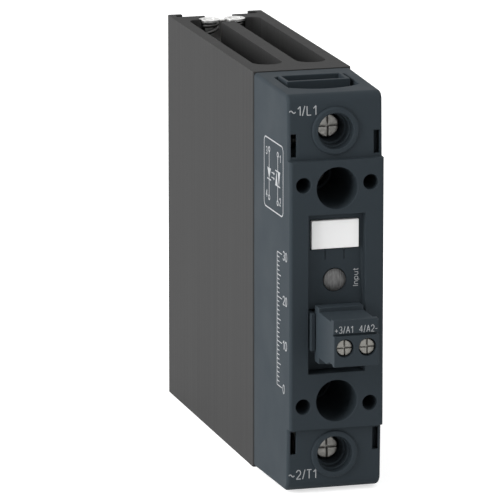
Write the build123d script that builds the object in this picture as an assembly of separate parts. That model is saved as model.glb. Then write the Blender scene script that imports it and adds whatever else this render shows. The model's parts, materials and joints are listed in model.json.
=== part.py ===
from build123d import *
import os
from math import tan, radians

# Solid state relay module on its own heat sink, for a 35 mm top-hat rail. Millimetres.
# Frame: +X to the right seen from the front, +Y from the front towards the rail, +Z up.
# The origin is the centre of the rail's front face: Y = 0 is the plane of the heat sink's
# rear feet, and Z = 0 is half its height. "Ahead" means a distance towards the front,
# counted from the seam between heat sink and housing.

# ---------------------------------------------------------------- running and fitting gaps
thread_gap = 0.05        # radial, between a screw's shank and its nut or cage
bore_gap = 0.25          # radial, between a fixed screw and a plain hole
slip = 0.1               # a side, between pieces that slide in one another
easy = 0.3               # a side, between pieces that must never touch
past = 1.0               # how far a cut runs past the face that it opens
root = 1.0               # how far a rib or wall runs into the wall that carries it

# ---------------------------------------------------------------- heat sink extrusion
side_wall = 2.75
channel_width = 6.85
middle_fin = 3.3
base_thickness = 7.5
channel_length = 56.7
flange_thickness = 4.6
foot_height = 3.2
foot_lip = 1.0           # lip of each foot that closes the T-slot
foot_lip_reach = 3.3
foot_wall = 1.55         # wall left beside the T-slot
flange_gap = 6.6         # opening between the two rear flanges
fin_clearance = 3.7      # from the middle fin's rear end to the flanges
channel_front_radius = 3.2
channel_rear_radius = 2.0
sink_corner = 0.35
spring_port_offset = 3.05
spring_port_radius = 2.5
spring_port_ahead = 3.3  # from the recess plane to the springs' axes

# ---------------------------------------------------------------- stations along the height
fixing_pitch = 47.6      # the two screws that hold the module to the heat sink
well_bore = 9.3
well_seat_bore = 8.3     # narrower stretch round the fixing screw's head and washer
well_shoulder = 1.0      # from the fixing screw's head to the wider bore
well_wall = 1.2
well_to_cage = 2.75
cage_length = 7.6
cage_to_end = 5.0

# ---------------------------------------------------------------- housing
cover_inset = 0.15       # the heat sink stands proud of the housing all round
cover_depth = 27.4
cover_draft = 0.8        # degrees on the two sides
cover_end_draft = 1.05   # degrees on the two ends
cover_wall = 1.5
cover_front_wall = 1.6
top_edge_radius = 2.0
bottom_edge_radius = 2.6
front_edge_radius = 0.8
seam_groove = 0.3        # shadow line between housing and heat sink
seam_tongue = 0.45
terminal_step = 1.6      # terminal sections lie this far behind the middle section
terminal_lean = 0.45     # and lean back by this much at their outer ends
terminal_section = 15.0  # length of each terminal section
ring_height = 0.65
ring_width = 1.3
ring_edge = 0.45
funnel_bores = (8.05, 7.2, 6.2)
funnel_steps = (2.2, 2.0)
funnel_wall = 1.3
window_size = (1.3, 5.1)
window_edge = 0.65       # from a window to the side face
window_from_step = 0.75
window_rim = 0.4         # least thickness of the front wall at a window's rim
window_relief = 0.3      # how far the wall is cut back round a window, behind that rim
pilot_bore = 3.4
pilot_x = 7.62
pilot_from_fixing = 0.95
pilot_depth = 12.0
pilot_wall = 0.8
panel_depth = 2.0
panel_gap = 0.25         # from the header to the side walls of the panel and pocket
panel_top = 17.95
pocket_bottom = 17.5     # below the middle
pocket_top = 3.4         # below the middle
pocket_depth = 4.4
pocket_wall = 1.2
post_radius = 1.0
post_inset = 1.2

# ---------------------------------------------------------------- wire guides
guide_wall = 0.75
guide_front_wall = 1.0
guide_opening = (13.0, 5.7)   # the recess round the guide's rim is the scoop below
guide_ahead = 6.2        # rear edge of the opening, ahead of the seam
guide_flange = 0.8
guide_flange_reach = 0.6
guide_back = 1.0         # insulating wall behind the cage
guide_back_ahead = 2.6
scoop_half_width = 8.1
scoop_rear_ahead = 5.8
scoop_side_ahead = 17.0
scoop_middle_ahead = 19.7

# ---------------------------------------------------------------- power terminals
cage_wall = 1.0
cage_front_wall = 1.8
cage_inner_width = 10.4
cage_inner_depth = 6.8
cage_ahead = 4.2
screw_shank = 4.0
screw_head = 5.3
screw_head_height = 2.2
screw_lift = 3.6         # from the cage to the underside of the open screw's head
screw_slot = 0.5
screw_slot_depth = 1.1
screw_edge = 0.45
stub_radius = 1.0        # the screw's turned-down tip, through the plate
plate_thickness = 0.8
plate_margin = 0.6

# ---------------------------------------------------------------- power stage
pad_thickness = 0.2
base_plate_thickness = 3.0
base_plate_gap = 0.4
base_plate_overhang = 0.85
ceramic_thickness = 0.63
ceramic_half_width = 6.5
ceramic_to_well = 2.0
copper_thickness = 0.3
copper_margin = 0.5
copper_split = 2.0
die_size = 7.0
die_thickness = 0.4
die_inset = 0.6
bridge_width = 2.8
bridge_thickness = 0.5
bridge_rise = 0.9
bridge_landing = 2.9
bus_thickness = 1.0
bus_gap = 1.05           # between a well and the blade that passes it
bus_depth = 5.3
bus_foot = 4.6
bus_foot_reach = 4.4
gate_pin_radius = 0.3
gate_pin_setback = 0.4   # from the board's front face to the pins' ends

# ---------------------------------------------------------------- fixing screws
fixing_shank = 4.0
fixing_head = 7.0
fixing_head_height = 2.6
fixing_depth = 8.5
washer_thickness = 0.8
washer_gap = 0.2
fixing_edge = 0.3
fixing_relief = 1.0      # tapped hole beyond the screw's tip
hex_recess = 3.0

# ---------------------------------------------------------------- control board
board_thickness = 1.6
board_to_pocket = 7.6    # from the board to the plug pocket's floor
board_gap = 0.55
board_to_well = 1.4
led_radius = 2.5
led_hole_gap = 0.1
led_z = 2.95
led_proud = 0.9
led_dome = 0.8
led_flange = 0.4
led_flange_height = 1.0
led_height = 8.1         # from the lamp's seat to the top of its dome
led_pitch = 2.54
lead_size = 0.5
opto_size = (8.8, 3.5, 6.4)
opto_z = 11.9
chip_size = (1.25, 0.6, 2.0)
chip_x = 6.7
chip_pitch = 3.4
chip_count = 3
capacitor_size = (10.0, 4.6)
capacitor_clearance = 1.87
varistor_size = (5.6, 2.0, 4.6)
varistor_place = (3.3, 12.2)
regulator_size = (6.4, 1.7, 3.5)
regulator_place = (-2.6, -13.6)

# ---------------------------------------------------------------- control plug and its header
pole_pitch = 5.08
pole_z = -8.45
header_width = 12.4
header_height = 8.9
header_wall = 1.0
header_floor = 3.0
header_setback = 1.3     # header's mouth, behind the housing's front
header_cheek_proud = 1.0 # header's side walls, ahead of the housing's front
header_cheek_top = 4.8   # above the pole axis
header_cheek_bottom = 3.6     # below the pole axis
pin_size = 1.0
pin_tail = 1.4
pin_setback = 2.1
collar_gap = 1.4         # between the header's mouth and the plug's collar
collar_thickness = 3.0
collar_top = 6.5        # above the pole axis
collar_bottom = 6.05     # below the pole axis
plug_length = 11.7       # main block, from the collar to the front
plug_top = 5.55
plug_bottom = 4.7
label_top = 6.15
label_height = 3.1
label_thickness = 1.9
label_setback = 0.6
plug_groove = 0.35
plug_relief = 0.9
plug_lip = 1.4
plug_lip_bottom = 4.1
plug_screw_bore = 4.0
plug_screw_head = 3.6
plug_screw_head_height = 1.4
plug_screw_sunk = 0.8
plug_web = 0.3           # radial, round the small screw's neck
plug_screw_shank = 2.4
plug_screw_slot = 0.36
plug_screw_slot_depth = 0.7
plug_screw_edge = 0.28
plug_seat = 0.8
plug_chamber = 3.9
plug_chamber_top = 3.4
plug_floor = 1.5
clamp_wall = 0.5
clamp_front_wall = 1.2
clamp_gap = 0.2          # between the small clamp and its chamber
clamp_height = 5.0
clamp_opening = 2.6
small_travel = 2.4
contact_thickness = 0.5
contact_tip_gap = 0.6    # room for the small screw's tip
socket_wall = 0.5
tongue_clearance = 0.4

# ---------------------------------------------------------------- marking tag
tag_size = (10.75, 1.0, 6.3)
tag_bottom = 10.1
tag_proud = 0.5
tag_peg = (1.2, 1.4)
tag_peg_pitch = 7.0
tag_notch_x = 2.15
tag_notch = (0.3, 2.5)
tag_notch_depth = 0.25
tag_gap = 0.2

# ---------------------------------------------------------------- rail clip
rail_height = 35.0
rail_lip = 1.0
rail_play = 0.3
clip_plate = 1.2
clip_plate_end = 4.0     # from the heat sink's lower end to the plate
clip_plate_cover = 8.0   # how far the plate reaches above the lug's slot
hook_width = 11.0
hook_reach = 2.6
hook_thickness = 1.2
slider_thickness = 0.9
slider_bottom = 9.0
slider_end_gap = 1.5     # from the heat sink's upper end to the slider
latch_travel = 4.0
lug_width = 5.6
lug_reach = 6.2
lug_thickness = 1.2
release_slot = (4.5, 2.2)
release_from_end = 10.0  # from the slider's upper end to its release slot
rivet_radius = 1.6
rivet_head = 2.7
rivet_head_height = 0.6
rivet_stations = (-24.0, -36.0)
clamp_bar = (12.0, 2.5, 20.0)
spring_wire = 0.45       # radius of the wire
spring_turns = 9
spring_plug_height = 0.6
spring_plug_sunk = 0.2   # below the heat sink's end face
spring_plug_groove = 0.25
spring_plug_ring = (1.0, 1.55)

# ---------------------------------------------------------------- worked-out places
sink_width = 2 * (side_wall + channel_width) + middle_fin
sink_depth = base_thickness + channel_length + flange_thickness + foot_height
well_radius = well_bore / 2 + well_wall
fixing_z = fixing_pitch / 2
cage_bottom = fixing_z + well_radius + well_to_cage
terminal_z = cage_bottom + cage_length / 2
sink_half = cage_bottom + cage_length + cage_to_end
seam = -sink_depth
recess = -foot_height
cover_half_width = sink_width / 2 - cover_inset
cover_half_height = sink_half - cover_inset
step_z = sink_half - terminal_section
face_ahead = cover_depth - terminal_step
terminal_depth = face_ahead - 2 * terminal_lean
cavity_ahead = cover_depth - panel_depth - cover_front_wall
cavity_half_width = cover_half_width - cover_wall
pocket_half_width = header_width / 2 + panel_gap
pocket_ahead = cover_depth - pocket_depth
panel_ahead = cover_depth - panel_depth
ring_radius = funnel_bores[0] / 2 + ring_width
cage_front = cage_ahead + cage_wall + cage_inner_depth + cage_front_wall
bus_ahead = cage_ahead + cage_wall
plate_front = cage_front - cage_front_wall - slip
head_back = cage_front + screw_lift
head_front = head_back + screw_head_height
base_front = pad_thickness + base_plate_thickness
ceramic_front = base_front + ceramic_thickness
copper_front = ceramic_front + copper_thickness
die_front = copper_front + die_thickness
ceramic_half = fixing_z - well_radius - ceramic_to_well
base_half = fixing_z + well_radius + base_plate_overhang
board_front = pocket_ahead - pocket_wall - board_to_pocket
board_ahead = board_front - board_thickness
board_half = fixing_z - well_radius - board_to_well
board_half_width = cavity_half_width - board_gap
header_mouth = cover_depth - header_setback
collar_rear = header_mouth + collar_gap
collar_front = collar_rear + collar_thickness
plug_front = collar_front + plug_length
bus_x = well_radius + bus_gap
guide_x = guide_opening[0] / 2 + guide_wall
guide_rear = guide_ahead - guide_wall
guide_front = guide_ahead + guide_opening[1] + guide_front_wall
guide_shelf = cage_bottom + cage_length + slip + guide_flange
scoop_floor = guide_shelf + cover_wall
hook_rear = rail_lip + rail_play + hook_thickness
ring_front = face_ahead - terminal_lean * (terminal_z - step_z) / terminal_section + ring_height
spring_y = recess - spring_port_ahead
plug_face = sink_half - spring_plug_sunk
spring_top = plug_face - spring_plug_height
slider_rear = recess + clip_plate + slider_thickness
slot_half = sink_width / 2 - foot_wall - slip
lug_top = slider_bottom + lug_thickness
seat_ahead = plug_front - plug_screw_sunk - plug_screw_head_height
chamber_front = seat_ahead - plug_seat
clamp_front = chamber_front - small_travel - slip
clamp_inner = clamp_front - clamp_front_wall
contact_front = clamp_inner - contact_tip_gap
contact_rear = contact_front - contact_thickness
clamp_rear = contact_rear - clamp_opening - clamp_wall
contact_top = pole_z + plug_chamber_top - clamp_gap
tongue_rear = board_front + header_floor + tongue_clearance
led_front = panel_ahead + led_proud
led_seat = led_front - led_height
capacitor_height = board_ahead - die_front - bridge_rise - bridge_thickness - capacitor_clearance
well_seat = base_front + washer_thickness + fixing_head_height + well_shoulder
tag_front = panel_ahead + tag_proud
tag_rear = tag_front - tag_size[1]


# ---------------------------------------------------------------- shapes used throughout
def block(x, y, z):
    """A box between two ends along each axis."""
    middle = [(ends[0] + ends[1]) / 2 for ends in (x, y, z)]
    size = [abs(ends[1] - ends[0]) for ends in (x, y, z)]
    return Pos(*middle) * Box(*size)


def slab(x, ahead, z):
    """A box whose depth runs between two distances ahead of the seam."""
    return block(x, (seam - ahead[0], seam - ahead[1]), z)


def both(reach, centre=0.0):
    """The two ends of a stretch that reaches equally far each way from its centre."""
    return centre - reach, centre + reach


def rod(x, z, ahead, radius):
    """A round bar along Y between two distances ahead of the seam."""
    y = seam - (ahead[0] + ahead[1]) / 2
    return Pos(x, y, z) * Rot(90, 0, 0) * Cylinder(radius, abs(ahead[1] - ahead[0]))


def post(x, y, z, radius):
    """A round bar along Z between two heights."""
    return Pos(x, y, (z[0] + z[1]) / 2) * Cylinder(radius, abs(z[1] - z[0]))


def flipped(shape):
    """The same piece turned half a turn about the module's front-to-back axis."""
    return Rot(0, 180, 0) * shape


def side_cut(points, half_width):
    """A prism across the module from an outline given as (ahead, z) points."""
    outline = Polyline([(seam - ahead, z) for ahead, z in points], close=True)
    return extrude(Plane.YZ * make_face(outline), half_width, both=True)


def drafted(inset, ahead):
    """A block with the housing's drafted sides, lying `inset` inside its outer faces."""
    depth = ahead[1] - ahead[0]
    side_slope = tan(radians(cover_draft))
    end_slope = tan(radians(cover_end_draft))
    width = 2 * (cover_half_width - inset - ahead[0] * side_slope)
    height = 2 * (cover_half_height - inset - ahead[0] * end_slope)
    across = depth * side_slope
    along = depth * end_slope
    body = Wedge(
        width, depth, height, across, along, width - across, height - along,
        align=(Align.CENTER, Align.MIN, Align.CENTER),
    )
    return Pos(0, seam - ahead[0], 0) * Rot(0, 0, 180) * body


def drive_cross(x, z, front, reach, width, depth):
    """The crossed slots of a combination screw head whose face is at `front`."""
    across = slab(both(reach, x), (front - depth, front + depth), both(width / 2, z))
    upright = slab(both(width / 2, x), (front - depth, front + depth), both(reach, z))
    return across + upright


# ---------------------------------------------------------------- heat sink
def sink_channel():
    """The right-hand air channel: round at the front, its rear outer corner rounded."""
    inner = middle_fin / 2
    front = seam + base_thickness
    channel = block((inner, inner + channel_width), (front, front + channel_length), both(sink_half + past))
    front_corners = channel.edges().filter_by(Axis.Z).sort_by(Axis.Y)[:2]
    channel = fillet(front_corners, channel_front_radius)
    rear_outer = channel.edges().filter_by(Axis.Z).group_by(Axis.Y)[-1].sort_by(Axis.X)[-1]
    return fillet(rear_outer, channel_rear_radius)


def heat_sink():
    """An extruded profile: two closed-front channels and a T-slot between the rear feet."""
    tall = both(sink_half + past)
    body = block(both(sink_width / 2), (seam, 0), both(sink_half))
    body = fillet(body.edges().filter_by(Axis.Z), sink_corner)
    channel = sink_channel()
    body -= channel
    body -= mirror(channel, Plane.YZ)
    flange_front = recess - flange_thickness
    body -= block(both(middle_fin), (flange_front - fin_clearance, flange_front), tall)
    body -= block(both(flange_gap / 2), (flange_front - past, recess), tall)
    body -= block(both(sink_width / 2 - foot_wall), (recess, -foot_lip), tall)
    body -= block(both(sink_width / 2 - foot_lip_reach), (recess, past), tall)
    for side in (-1, 1):
        body -= post(side * spring_port_offset, spring_y, tall, spring_port_radius)
    for level in (-fixing_z, fixing_z):
        body -= rod(0, level, (-fixing_depth - fixing_relief, past), fixing_shank / 2 + thread_gap)
    return body


# ---------------------------------------------------------------- housing
def is_front_upright(edge):
    """Whether an edge runs up the housing's front at one of its two sides."""
    centre = edge.center()
    upright = edge.geom_type == GeomType.LINE and abs(edge.tangent_at(0).Z) > 0.9
    return upright and centre.Y < seam - terminal_depth and abs(centre.X) > cavity_half_width


def cover_outside():
    """The drafted block with its stepped, leaning terminal sections and rounded edges."""
    body = drafted(0, (0, cover_depth))
    beyond = cover_depth + past
    top_cut = side_cut(
        [
            (face_ahead, step_z),
            (face_ahead - terminal_lean, sink_half),
            (beyond, sink_half),
            (beyond, step_z),
        ],
        sink_width,
    )
    body -= top_cut
    body -= mirror(top_cut, Plane.XY)
    across = body.edges().filter_by(Axis.X)
    face_edges = across.filter_by(lambda edge: edge.center().Y < seam - cover_depth / 2)
    body = fillet(face_edges.sort_by(Axis.Z)[-1], top_edge_radius)
    across = body.edges().filter_by(Axis.X)
    face_edges = across.filter_by(lambda edge: edge.center().Y < seam - cover_depth / 2)
    body = fillet(face_edges.sort_by(Axis.Z)[0], bottom_edge_radius)
    uprights = body.edges().filter_by(lambda edge: is_front_upright(edge))
    return fillet(uprights, front_edge_radius)


def wells(radius, ahead):
    """Two bars along the fixing screws' axes."""
    return rod(0, fixing_z, ahead, radius) + rod(0, -fixing_z, ahead, radius)


def terminal_funnel():
    """The raised ring and stepped driver hole over the upper terminal screw: solid, then bore."""
    back = cage_front + 2 * easy
    solid = rod(0, terminal_z, (back, ring_front - ring_height), funnel_bores[0] / 2 + funnel_wall)
    lip = rod(0, terminal_z, (ring_front - 2 * ring_height, ring_front), ring_radius)
    lip = fillet(lip.edges().filter_by(GeomType.CIRCLE).sort_by(Axis.Y)[0], ring_edge)
    first = ring_front - funnel_steps[0]
    second = first - funnel_steps[1]
    bore = rod(0, terminal_z, (first, ring_front + past), funnel_bores[0] / 2)
    bore += rod(0, terminal_z, (second, ring_front), funnel_bores[1] / 2)
    bore += rod(0, terminal_z, (back - past, ring_front), funnel_bores[2] / 2)
    return solid + lip, bore


def guide_scoop():
    """The recess in the end face round the upper wire guide, with its bowed front edge."""
    rear = seam - scoop_rear_ahead
    side = seam - scoop_side_ahead
    middle = seam - scoop_middle_ahead
    reach = scoop_half_width
    outline = Polyline((-reach, side), (-reach, rear), (reach, rear), (reach, side))
    outline += ThreePointArc((reach, side), (0, middle), (-reach, side))
    scoop = Pos(0, 0, scoop_floor) * extrude(make_face(outline), cover_wall * 4)
    mouth = slab(both(guide_x + slip), (guide_rear - slip, guide_front + slip), (guide_shelf - past, sink_half))
    return scoop + mouth


def housing_end():
    """What the upper end adds to the shell and what it takes away."""
    funnel, bore = terminal_funnel()
    shelf = slab(
        both(cavity_half_width + easy),
        (scoop_rear_ahead - cover_wall, scoop_middle_ahead + cover_wall),
        (guide_shelf, cover_half_height - cover_wall / 2),
    )
    added = funnel + shelf
    removed = bore + guide_scoop()
    outer = cover_half_width - cover_depth * tan(radians(cover_draft)) - window_edge
    bottom = step_z + window_from_step
    for side in (-1, 1):
        window = slab(
            (side * outer, side * (outer - window_size[0])),
            (cavity_ahead - past, cover_depth),
            (bottom, bottom + window_size[1]),
        )
        relief = slab(
            (side * (outer + window_relief), side * (outer - window_size[0] - window_relief)),
            (cavity_ahead - past, face_ahead - terminal_lean - window_rim),
            (bottom - window_relief, bottom + window_size[1] + window_relief),
        )
        removed += window + relief
        level = fixing_z + pilot_from_fixing
        bottom_of_pilot = cover_depth - pilot_depth
        added += rod(side * pilot_x, level, (bottom_of_pilot - pilot_wall, cavity_ahead + root), pilot_bore / 2 + pilot_wall)
        removed += rod(side * pilot_x, level, (bottom_of_pilot, cover_depth + past), pilot_bore / 2)
    return added, removed


def front_housing():
    """The moulded cover: shell, screw wells, driver funnels, plug pocket and label panel."""
    body = cover_outside()
    body -= drafted(cover_wall, (-past, cavity_ahead))
    body += wells(well_radius, (base_front + easy, cavity_ahead + root))
    pocket_walls = slab(
        both(pocket_half_width + pocket_wall),
        (pocket_ahead - pocket_wall, cavity_ahead + root),
        (-pocket_bottom - pocket_wall, -pocket_top + pocket_wall),
    )
    body += pocket_walls
    for x in both(board_half_width - post_inset):
        for z in both(board_half - post_inset):
            body += rod(x, z, (board_front, cavity_ahead + root), post_radius)
    added, removed = housing_end()
    body += added
    body += flipped(added)
    body -= removed
    body -= flipped(removed)
    body -= wells(well_seat_bore / 2, (0, cover_depth))
    body -= wells(well_bore / 2, (well_seat, cover_depth + past))
    body -= slab(both(pocket_half_width), (panel_ahead, cover_depth + past), (-pocket_bottom, panel_top))
    body -= slab(both(pocket_half_width), (pocket_ahead, cover_depth), (-pocket_bottom, -pocket_top))
    body -= slab(
        both(header_width / 2 + slip),
        (board_front, cover_depth),
        both(header_height / 2 + slip, pole_z),
    )
    body -= rod(0, led_z, (cavity_ahead - past, cover_depth), led_radius + led_hole_gap)
    body -= tag_seat()
    seam_ring = slab(both(sink_width), (-past, seam_groove), both(sink_half + past))
    seam_ring -= drafted(seam_tongue, (-2 * past, seam_groove + past))
    return body - seam_ring


def tag_seat():
    """The shallow seat of the marking tag, its peg slots and the two slits of its pry tab."""
    tag_top = tag_bottom + tag_size[2]
    seat = slab(
        both(tag_size[0] / 2 + tag_gap),
        (tag_rear, panel_ahead + past),
        (tag_bottom - tag_gap, tag_top + tag_gap),
    )
    for x in both(tag_peg_pitch / 2):
        seat += slab(
            both(tag_peg[0] / 2 + slip, x),
            (cavity_ahead - past, panel_ahead),
            both(tag_peg[0] / 2 + slip, (tag_bottom + tag_top) / 2),
        )
    for x in both(tag_notch_x):
        seat += slab(
            both(tag_notch[0] / 2, x),
            (panel_ahead - tag_notch_depth, panel_ahead + past),
            (tag_bottom - tag_notch[1], tag_bottom),
        )
    return seat


def wire_guide():
    """The upper wire guide: a rectangular funnel with a flange and an insulating back wall."""
    body = slab(both(guide_x), (guide_rear, guide_front), (guide_shelf - guide_flange, sink_half))
    body += slab(
        both(guide_x + guide_flange_reach),
        (guide_back_ahead, guide_front + guide_flange_reach),
        (guide_shelf - guide_flange, guide_shelf),
    )
    body += slab(
        both(guide_x),
        (guide_back_ahead, guide_back_ahead + guide_back),
        (base_half + easy, guide_shelf),
    )
    opening = slab(
        both(guide_opening[0] / 2),
        (guide_ahead, guide_ahead + guide_opening[1]),
        (guide_shelf - guide_flange - past, sink_half + past),
    )
    return body - opening


# ---------------------------------------------------------------- power terminals
def terminal_cage():
    """The upper box clamp: a steel loop, open at both ends, threaded through its front wall."""
    height = (cage_bottom, cage_bottom + cage_length)
    body = slab(both(cage_inner_width / 2 + cage_wall), (cage_ahead, cage_front), height)
    inner_front = cage_front - cage_front_wall
    body -= slab(both(cage_inner_width / 2), (bus_ahead, inner_front), (0, sink_half))
    return body - rod(0, terminal_z, (inner_front - past, cage_front + past), screw_shank / 2 + thread_gap)


def pressure_plate():
    """The plate that the terminal screw pushes against the conductor."""
    body = slab(
        both(cage_inner_width / 2 - plate_margin),
        (plate_front - plate_thickness, plate_front),
        (cage_bottom + plate_margin, cage_bottom + cage_length - plate_margin),
    )
    return body - rod(0, terminal_z, (0, cover_depth), stub_radius + thread_gap)


def terminal_screw():
    """The combination-head screw of the upper terminal, drawn fully open."""
    body = rod(0, terminal_z, (head_back, head_front), screw_head / 2)
    body = fillet(body.edges().filter_by(GeomType.CIRCLE).sort_by(Axis.Y)[0], screw_edge)
    body += rod(0, terminal_z, (plate_front, head_back), screw_shank / 2)
    body += rod(0, terminal_z, (plate_front - plate_thickness, plate_front), stub_radius)
    return body - drive_cross(0, terminal_z, head_front, screw_head, screw_slot, screw_slot_depth)


def busbar():
    """The strip from the upper copper pad, past the fixing well, into the upper cage."""
    outer = bus_x + bus_thickness
    foot_z = (ceramic_half - copper_margin - bus_foot, ceramic_half - copper_margin)
    blade_end = cage_bottom - copper_margin
    body = slab((outer - bus_foot_reach, outer), (copper_front, copper_front + bus_thickness), foot_z)
    body += slab((bus_x, outer), (copper_front, bus_ahead + bus_depth), foot_z)
    body += slab((bus_x, outer), (bus_ahead, bus_ahead + bus_depth), (foot_z[0], blade_end))
    tongue_reach = cage_inner_width / 2 - plate_margin
    tongue_start = fixing_z + well_radius + easy
    tongue = (bus_ahead, bus_ahead + bus_thickness)
    body += slab((-tongue_reach, outer), tongue, (tongue_start, blade_end))
    body += slab(both(tongue_reach), tongue, (tongue_start, cage_bottom + cage_length - slip))
    return body


# ---------------------------------------------------------------- power stage
def thermal_pad():
    """The thin foil between the base plate and the heat sink."""
    body = slab(both(cavity_half_width - base_plate_gap), (0, pad_thickness), both(base_half))
    return body - wells(fixing_shank / 2 + bore_gap, (-past, 1))


def base_plate():
    """The metal base of the relay, screwed to the heat sink."""
    body = slab(both(cavity_half_width - base_plate_gap), (pad_thickness, base_front), both(base_half))
    return body - wells(fixing_shank / 2 + bore_gap, (0, base_front + past))


def ceramic_substrate():
    """The insulating ceramic plate under the copper pads."""
    return slab(both(ceramic_half_width), (base_front, ceramic_front), both(ceramic_half))


def copper_pad():
    """The upper of the two copper areas on the ceramic."""
    return slab(
        both(ceramic_half_width - copper_margin),
        (ceramic_front, copper_front),
        (copper_split / 2, ceramic_half - copper_margin),
    )


def die_corner():
    """The left and lower edges of the upper thyristor die."""
    return -ceramic_half_width + copper_margin + die_inset, copper_split / 2 + die_inset


def thyristor_die():
    """The upper of the two dies, wired back to back."""
    left, bottom = die_corner()
    return slab((left, left + die_size), (copper_front, die_front), (bottom, bottom + die_size))


def die_bridge():
    """The bent strip from the upper die's face to the lower copper pad."""
    left, bottom = die_corner()
    x = (left, left + bridge_width)
    top = die_front + bridge_rise + bridge_thickness
    near = bottom + die_inset
    far = -bottom
    body = slab(x, (die_front, die_front + bridge_thickness), (near, bottom + die_size - die_inset))
    body += slab(x, (die_front, top), (near, near + bridge_thickness))
    body += slab(x, (die_front + bridge_rise, top), (far - bridge_thickness, near + bridge_thickness))
    body += slab(x, (copper_front, top), (far - bridge_thickness, far))
    body += slab(x, (copper_front, copper_front + bridge_thickness), (far - bridge_landing, far))
    return body


def gate_pin_places():
    """Where the gate and cathode pins of both dies stand: x, z and the face they start from."""
    left, bottom = die_corner()
    on_die = (left + die_size - die_inset, bottom + die_size - die_inset, die_front)
    on_pad = (left, ceramic_half - copper_margin - bridge_landing, copper_front)
    upper = [on_die, on_pad]
    return upper + [(-x, -z, ahead) for x, z, ahead in upper]


def gate_pins():
    """Four straight pins from the dies and pads up into the control board."""
    end = board_front - gate_pin_setback
    return [rod(x, z, (ahead, end), gate_pin_radius) for x, z, ahead in gate_pin_places()]


# ---------------------------------------------------------------- fixing screws
def fixing_screw():
    """The upper socket-head screw, through washer and base plate into the heat sink."""
    under_head = base_front + washer_thickness
    top = under_head + fixing_head_height
    body = rod(0, fixing_z, (under_head, top), fixing_head / 2)
    body = fillet(body.edges().filter_by(GeomType.CIRCLE).sort_by(Axis.Y)[0], fixing_edge)
    body += rod(0, fixing_z, (-fixing_depth, under_head), fixing_shank / 2)
    face = Plane(origin=(0, seam - top, fixing_z), x_dir=(1, 0, 0), z_dir=(0, 1, 0))
    socket = extrude(face * RegularPolygon(hex_recess / 2, 6, major_radius=False), fixing_head_height / 2)
    return body - socket


def fixing_washer():
    """The flat washer under the upper fixing screw's head."""
    ahead = (base_front, base_front + washer_thickness)
    body = rod(0, fixing_z, ahead, well_seat_bore / 2 - washer_gap)
    return body - rod(0, fixing_z, (0, cover_depth), fixing_shank / 2 + thread_gap)


# ---------------------------------------------------------------- control board
def pole_xs():
    """The two poles of the control plug."""
    return -pole_pitch / 2, pole_pitch / 2


def control_board():
    """The printed board, drilled for header pins, lamp leads and gate pins."""
    body = slab(both(board_half_width), (board_ahead, board_front), both(board_half))
    through = (board_ahead - past, board_front + past)
    for x in pole_xs():
        body -= slab(both(pin_size / 2 + slip, x), through, both(pin_size / 2 + slip, pole_z))
    for x in both(led_pitch / 2):
        body -= slab(both(lead_size / 2 + slip, x), through, both(lead_size / 2 + slip, led_z))
    for x, z, ahead in gate_pin_places():
        body -= rod(x, z, through, gate_pin_radius + slip)
    return body


def led():
    """The round indicator lamp, its low dome just proud of the label panel."""
    dome_radius = (led_radius ** 2 + led_dome ** 2) / (2 * led_dome)
    shoulder = led_front - led_dome
    dome = Pos(0, seam - led_front + dome_radius, led_z) * Sphere(dome_radius)
    body = rod(0, led_z, (shoulder, led_front + past), led_radius) & dome
    body += rod(0, led_z, (led_seat, shoulder), led_radius)
    return body + rod(0, led_z, (led_seat, led_seat + led_flange_height), led_radius + led_flange)


def led_spacer():
    """The round spacer that holds the lamp off the board."""
    body = rod(0, led_z, (board_front, led_seat), led_radius + led_flange)
    for x in both(led_pitch / 2):
        body -= slab(both(lead_size / 2 + slip, x), (0, cover_depth), both(lead_size / 2 + slip, led_z))
    return body


def led_leads():
    """The lamp's two leads."""
    ahead = (board_ahead - pin_tail, led_seat)
    return [slab(both(lead_size / 2, x), ahead, both(lead_size / 2, led_z)) for x in both(led_pitch / 2)]


def on_board_front(size, x, z):
    """A boxed component on the board's front face: size is width, height off the board, length."""
    return slab(both(size[0] / 2, x), (board_front, board_front + size[1]), both(size[2] / 2, z))


def on_board_back(size, x, z):
    """A boxed component on the board's rear face."""
    return slab(both(size[0] / 2, x), (board_ahead - size[1], board_ahead), both(size[2] / 2, z))


def snubber_capacitor():
    """The boxed capacitor behind the board, between the die bridges and the board's rear face."""
    return on_board_back((capacitor_size[0], capacitor_height, capacitor_size[1]), 0, 0)


def chip_resistors():
    """Two short columns of chip resistors beside the lamp."""
    levels = [led_z - chip_pitch / 2 + n * chip_pitch for n in range(chip_count)]
    return [on_board_front(chip_size, side * chip_x, z) for side in (-1, 1) for z in levels]


# ---------------------------------------------------------------- header and control plug
def header_housing():
    """The shroud on the board that the control plug pushes into, its two sides taller than the rest."""
    half = (header_width / 2, header_height / 2)
    floor = board_front + header_floor
    body = slab(both(half[0]), (board_front, header_mouth), both(half[1], pole_z))
    cheek_ahead = (pocket_ahead + easy, cover_depth + header_cheek_proud)
    cheek_z = (pole_z - header_cheek_bottom, pole_z + header_cheek_top)
    cheeks = slab(both(half[0]), cheek_ahead, cheek_z)
    body += cheeks - slab(both(half[0] - header_wall), cheek_ahead, cheek_z)
    body -= slab(both(half[0] - header_wall), (floor, header_mouth + past), both(half[1] - header_wall, pole_z))
    for x in pole_xs():
        body -= slab(both(pin_size / 2, x), (board_front - past, floor + past), both(pin_size / 2, pole_z))
    return body


def header_pins():
    """Two square pins through the board and the header's floor."""
    ahead = (board_ahead - pin_tail, header_mouth - pin_setback)
    return [slab(both(pin_size / 2, x), ahead, both(pin_size / 2, pole_z)) for x in pole_xs()]


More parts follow.
